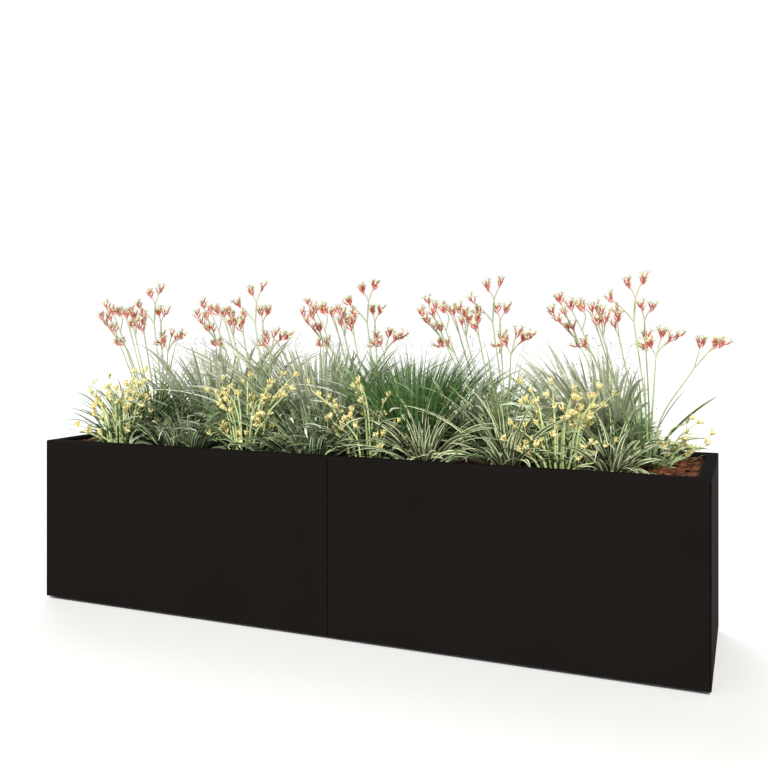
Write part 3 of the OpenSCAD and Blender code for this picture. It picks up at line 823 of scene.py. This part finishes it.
def yellow_stem(stems, flowers, rng, foot, top, bow, heads):
    """A pale stem from foot to top, raised by bow halfway, with flower heads on short side stalks
    near its end."""
    out = (top - foot) * Vector((1, 1, 0))
    path = smooth_path([foot, foot.lerp(top, 0.5) + UP * bow - out * 0.15, top], 7)
    own = rng.random()
    stems.tube(path, thinning(path, 0.0040, 0.0021), sides=5, own=own, end=0.8)
    for j in range(heads):
        start = path[-1 - 3 * j]
        aim = out.normalized() * rng.uniform(0.2, 0.9) + UP * rng.uniform(0.4, 1)
        aim += Vector((rng.uniform(-0.7, 0.7), rng.uniform(-0.6, 0.6), 0))
        tip = start + aim.normalized() * rng.uniform(0.016, 0.034)
        middle = start.lerp(tip, 0.5) + UP * 0.002
        stems.tube([start, middle, tip], [0.0015, 0.0012, 0.0011], sides=5, own=own, start=0.8)
        cluster(flowers, rng, tip, aim, count=rng.choice((3, 4, 5)), length=0.013, girth=0.0027,
                spread=1.2, claw_length=0.42, flare=0.9)


def yellow_paw(node):
    """Short stems that spray out from the crown, with leaves behind them. The plants at the two
    ends of the planter also arch out over its ends."""
    rng = random.Random(node)
    crown = crown_of(node)
    number = number_of(node)
    first, last = number == 1, number == 5
    stems, flowers, leaves = Shape(), Shape(), Shape()
    count = {3: 20, 5: 14}.get(number, 34)
    tallest = 0.27
    lean = -0.08 if number == 3 else 0.0
    for i in range(count):
        heading = i * GOLDEN_ANGLE + rng.uniform(-0.2, 0.2)
        share = (i + 0.5) / count
        height = (0.19 if last else tallest) - 0.24 * rng.random()
        reach = 0.03 + 0.14 * math.sqrt(share) * rng.uniform(0.75, 1.15)
        out = Vector((math.cos(heading), 0.5 * math.sin(heading) - 0.12, 0))
        foot = crown + out * 0.06 * math.sqrt(share) + Vector((0, -0.02, -0.01))
        place = crown + out * reach + Vector((lean * height / tallest, 0, max(height, 0.03)))
        top = keep_inside(place, MULCH_Z + 0.03)
        yellow_stem(stems, flowers, rng, foot, top, bow=0.18 * height, heads=rng.choice((2, 3, 3)))
    behind = crown + Vector((0, -0.02 if last else 0.05, 0))
    longest = 0.31 if first else 0.25
    leaf_clump(leaves, rng, behind, count=30 if last else 80, spread=(0.11, 0.05),
               length=(longest, longest + 0.05), width=(0.010, 0.014), rise=(1.45, 0.40),
               droop=(0.7, 1.2), segments=9, loose=0.2, top=0.28)
    if first:
        leaf_clump(leaves, rng, crown + Vector((0.02, 0.11, 0)), count=90, spread=(0.15, 0.06),
                   length=(0.30, 0.34), width=(0.010, 0.014), rise=(1.45, 0.75), droop=(0.4, 1.0),
                   segments=9, loose=0.25, top=0.30, over_end=True)
        for _ in range(16):
            root = crown + Vector((-0.05, rng.uniform(-0.03, 0.03), -0.01))
            blade(leaves, rng, root, heading=math.pi + rng.uniform(-0.7, 0.5),
                  length=rng.uniform(0.19, 0.28), width=rng.uniform(0.007, 0.010),
                  rise=rng.uniform(0.6, 1.15), droop=rng.uniform(0.9, 1.5), over_end=True)
    if last:
        for _ in range(6):
            foot = crown + Vector((0.03, rng.uniform(-0.06, 0), -0.01))
            top = crown + Vector((rng.uniform(0.09, 0.18), rng.uniform(-0.12, -0.03),
                                  rng.uniform(0.05, 0.15)))
            yellow_stem(stems, flowers, rng, foot, top, bow=0.04, heads=1)
        for length, width, rise, droop in ((0.34, 0.022, 0.95, 0.45), (0.25, 0.015, 0.75, 0.9),
                                           (0.23, 0.012, 0.55, 0.8), (0.30, 0.012, 1.25, 0.5)):
            root = crown + Vector((-0.03, -0.06, -0.01))
            blade(leaves, rng, root, heading=rng.uniform(-0.15, 0.1), length=length, width=width,
                  rise=rise, droop=droop, segments=12, over_end=True)
    plant_pieces(node, (("stems", stems, YELLOW_STEM), ("flowers", flowers, YELLOW_FLOWER),
                        ("leaves", leaves, YELLOW_LEAF)), "yellow_paw_plant")


def silver_clump(node):
    """Two layers of silver-grey leaves, with thin sprays of tiny pale flowers above them."""
    rng = random.Random(node)
    crown = crown_of(node)
    number = number_of(node)
    leaves, sprays, dots = Shape(), Shape(), Shape()
    fullness = 0.55 if number == 3 else 1.0
    top = {3: 0.33, 4: 0.42}.get(number, 0.47)
    spread, longest = ((0.16, 0.09), 0.46) if number == 4 else ((0.23, 0.09), 0.54)
    if number == 4:
        crown.x += 0.08
    leaf_clump(leaves, rng, crown, count=int(270 * fullness), spread=spread,
               length=(0.42, longest), width=(0.012, 0.016), rise=(1.45, 0.90), droop=(0.4, 0.9),
               segments=9, taper=3.6, loose=0.30, top=top)
    leaf_clump(leaves, rng, crown, count=int(150 * fullness), spread=spread,
               length=(0.38, longest - 0.04), width=(0.013, 0.018), rise=(1.25, 0.75),
               droop=(0.7, 1.3), segments=9, taper=3.6, loose=0.35, top=top)
    for _ in range(int(24 * fullness)):
        heading = rng.uniform(0, 2 * math.pi)
        out = Vector((math.cos(heading), 0.5 * math.sin(heading) - 0.35, 0))
        end = crown + out * rng.uniform(0.05, 0.22) + UP * rng.uniform(0.17, 0.41)
        keep_inside(end, MULCH_Z)
        middle = crown.lerp(end, 0.55) - out * 0.02
        path = smooth_path([crown + out * 0.02, middle, end], 8)
        own = rng.random()
        sprays.tube(path, thinning(path, 0.0013, 0.0008), sides=4, own=own)
        for k in range(9):
            start = path[-1 - k % 7]
            aim = Vector((rng.gauss(0, 1), rng.gauss(0, 0.7), rng.uniform(0.1, 1.1))).normalized()
            tip = start + aim * rng.uniform(0.012, 0.045)
            stalk = [start, start.lerp(tip, 0.5) + UP * 0.002, tip]
            sprays.tube(stalk, [0.0005, 0.0004, 0.0004], sides=3, own=own)
            bud_dot(dots, rng, tip, radius=rng.uniform(0.0024, 0.0040))
    plant_pieces(node, (("leaves", leaves, SILVER_LEAF), ("sprays", sprays, SPRAY_STEM),
                        ("flowers", dots, SPRAY_FLOWER)), "silver_leaf")


def striped_tuft(node):
    """Cream-edged leaves that arch out all round, with a few young tufts in front."""
    rng = random.Random(node)
    crown = crown_of(node)
    leaves = Shape()
    size = (1.12, 1.32, 1.08)[number_of(node) - 1]
    leaf_clump(leaves, rng, crown, count=68, spread=(0.04, 0.03), length=(0.23 * size, 0.28 * size),
               width=(0.016, 0.020), rise=(1.45, 0.30), droop=(0.8, 1.35), segments=11, taper=2.2,
               loose=0.12)
    for _ in range(3):
        foot = crown + Vector((rng.uniform(-0.09, 0.09), -0.055 + rng.uniform(-0.01, 0.01), 0))
        leaf_clump(leaves, rng, foot, count=6, spread=(0.006, 0.006), length=(0.030, 0.042),
                   width=(0.007, 0.009), rise=(1.3, 0.8), droop=(0.3, 0.8), segments=5, taper=1.6)
    plant_pieces(node, (("leaves", leaves, STRIPED_LEAF),), "striped_leaf")


def dark_clump(node):
    """Low dark leaves, with a few broad pale ones that arch over them to the right."""
    rng = random.Random(node)
    crown = crown_of(node)
    leaves, broad = Shape(), Shape()
    leaf_clump(leaves, rng, crown, count=170, spread=(0.14, 0.06), length=(0.25, 0.34),
               width=(0.010, 0.014), rise=(1.40, 0.28), droop=(0.9, 1.4), taper=2.4, loose=0.2,
               top=0.24)
    for i in range(4):
        root = crown + Vector((-0.09 + 0.02 * i, -0.045 - 0.008 * i, -0.01))
        blade(broad, rng, root, heading=-0.35 + rng.uniform(-0.12, 0.12),
              length=rng.uniform(0.30, 0.35), width=0.016, rise=rng.uniform(1.15, 1.30),
              droop=rng.uniform(1.8, 2.1), segments=14, taper=3.0, twist=0.15)
    plant_pieces(node, (("leaves", leaves, DARK_LEAF), ("broad_leaves", broad, SILVER_LEAF)),
                 "dark_leaf")


def tussock(node):
    """Fine, upright green leaves."""
    leaves = Shape()
    leaf_clump(leaves, random.Random(node), crown_of(node), count=620, spread=(0.10, 0.09),
               length=(0.41, 0.42), width=(0.0060, 0.0080), rise=(1.52, 1.1), droop=(0.3, 0.7),
               segments=8, taper=2.0, loose=0.13, top=0.42)
    plant_pieces(node, (("leaves", leaves, TUSSOCK_LEAF),), "tussock_leaf")


# ---------- the whole scene ----------

make_camera()
make_studio()

BARK = bark_material()
RED_STEM = leaf_material("red_paw_stem", (0.27, 0.37, 0.14), (0.44, 0.50, 0.28),
                         (0.62, 0.26, 0.15), vary=0.15, veins=2)
RED_FLOWER = flower_material("red_paw_flower", (0.42, 0.04, 0.03), (0.54, 0.045, 0.042),
                             (0.58, 0.24, 0.13), (0.62, 0.64, 0.36))
# The base colours of the red, yellow, silver, dark and tussock leaves, far darker than their
# blades, are painted shade for the shade low in each clump. The striped leaves' base is their real
# reddish-brown foot, darkened further as painted shade.
RED_LEAF = leaf_material("red_paw_leaf", (0.06, 0.10, 0.03), (0.28, 0.39, 0.17),
                         (0.42, 0.50, 0.29))
YELLOW_STEM = leaf_material("yellow_paw_stem", (0.42, 0.54, 0.22), (0.58, 0.67, 0.32),
                            (0.64, 0.56, 0.26), vary=0.15, veins=2)
YELLOW_FLOWER = flower_material("yellow_paw_flower", (0.50, 0.26, 0.07), (0.82, 0.70, 0.26),
                                (0.78, 0.56, 0.18), (0.88, 0.82, 0.42))
YELLOW_LEAF = leaf_material("yellow_paw_leaf", (0.012, 0.024, 0.007), (0.065, 0.115, 0.036),
                            (0.18, 0.26, 0.11), edge=(0.24, 0.32, 0.16), edge_share=0.26)
# The silver leaves' pale margins are partly their real pale edges and partly painted highlight
# along the leaf edges.
SILVER_LEAF = leaf_material("silver_leaf", (0.04, 0.06, 0.025), (0.52, 0.58, 0.40),
                            (0.62, 0.66, 0.50), edge=(0.80, 0.82, 0.70), edge_share=0.32, veins=3)
SPRAY_STEM = leaf_material("spray_stem", (0.40, 0.43, 0.30), (0.52, 0.54, 0.42),
                           (0.55, 0.55, 0.46), vary=0.1, veins=2)
SPRAY_FLOWER = flower_material("spray_flower", (0.62, 0.57, 0.60), (0.80, 0.75, 0.80),
                               (0.86, 0.82, 0.85), (0.90, 0.88, 0.90))
STRIPED_LEAF = leaf_material("striped_leaf", (0.04, 0.028, 0.015), (0.085, 0.135, 0.043),
                             (0.18, 0.25, 0.10), edge=(0.68, 0.70, 0.46), edge_share=0.40,
                             vary=0.25)
DARK_LEAF = leaf_material("dark_leaf", (0.012, 0.024, 0.007), (0.055, 0.095, 0.030),
                          (0.16, 0.23, 0.10), edge=(0.46, 0.52, 0.33), edge_share=0.30)
TUSSOCK_LEAF = leaf_material("tussock_leaf", (0.02, 0.05, 0.012), (0.10, 0.21, 0.060),
                             (0.24, 0.33, 0.16), vary=0.4, veins=2)

dress_cad()
filter_sheet()
bark_shreds()
GROWERS = (("red_paw", red_paw), ("yellow_paw", yellow_paw), ("silver_clump", silver_clump),
           ("striped_tuft", striped_tuft), ("dark_clump", dark_clump), ("green_tussock", tussock))
for name in sorted(nodes):
    grow = by_start(name, GROWERS)
    if grow:
        grow(name)
